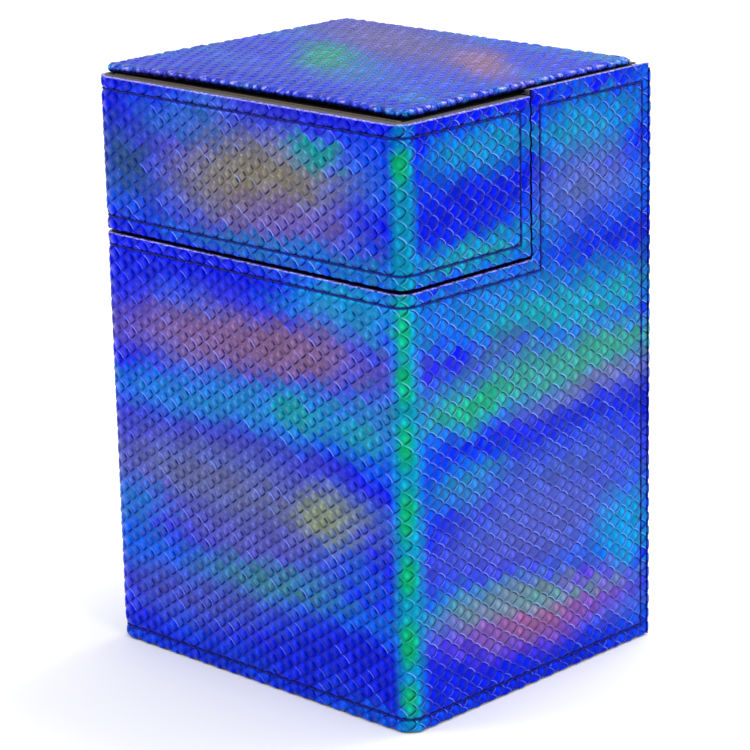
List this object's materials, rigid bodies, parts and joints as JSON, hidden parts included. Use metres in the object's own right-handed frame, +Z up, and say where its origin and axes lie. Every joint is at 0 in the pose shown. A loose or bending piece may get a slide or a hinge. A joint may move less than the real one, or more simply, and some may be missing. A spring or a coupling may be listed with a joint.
{
  "type": "card deck box",
  "caption": "Flip-top box for a deck of sleeved trading cards, rigid board wrapped in scale-embossed blue leatherette, with an inner neck and a hinged lid.",
  "frame": {"origin": "centre of the underside, on the surface that the box stands on", "axes": "+Z up, the front faces -Y, +X to the right seen from the front"},
  "size_m": [0.088, 0.076, 0.127],
  "materials": {
    "leatherette": "holographic blue polyurethane leatherette, embossed with small overlapping scales, semi-gloss",
    "hinge_leatherette": "thin flexible strip of the same leatherette, lined with black microfibre",
    "greyboard": "dense grey board, matt, raw edges painted dark grey",
    "microfibre": "black suede-like microfibre lining",
    "neck_sheet": "stiff sheet covered with black suede-like microfibre",
    "magnet": "nickel-plated sintered magnet"
  },
  "bodies": {
    "box": {"base_cover": "leatherette", "base_board": "greyboard", "floor_pad": "microfibre", "body_cover": "leatherette", "front_board": "greyboard", "left_board": "greyboard", "right_board": "greyboard", "back_cover": "leatherette", "back_board": "greyboard", "neck_front": "neck_sheet", "neck_left": "neck_sheet", "neck_right": "neck_sheet", "neck_back": "neck_sheet", "neck_magnet_left": "magnet", "neck_magnet_right": "magnet", "hinge_strip": "hinge_leatherette"},
    "lid": {"lid_skirt_cover": "leatherette", "lid_front_board": "greyboard", "lid_left_board": "greyboard", "lid_right_board": "greyboard", "lid_skirt_lining": "microfibre", "lid_base": "greyboard", "lid_base_lining": "microfibre", "top_board": "greyboard", "top_cover": "leatherette", "lid_magnet_left": "magnet", "lid_magnet_right": "magnet"}
  },
  "joints": [
    {"name": "lid_hinge", "type": "hinge", "parent": "box", "child": "lid", "pos_m": [0, 0.0362, 0.12525], "axis": [-1, 0, 0], "range_deg": [0, 105], "deforming": ["hinge_strip"]}
  ]
}
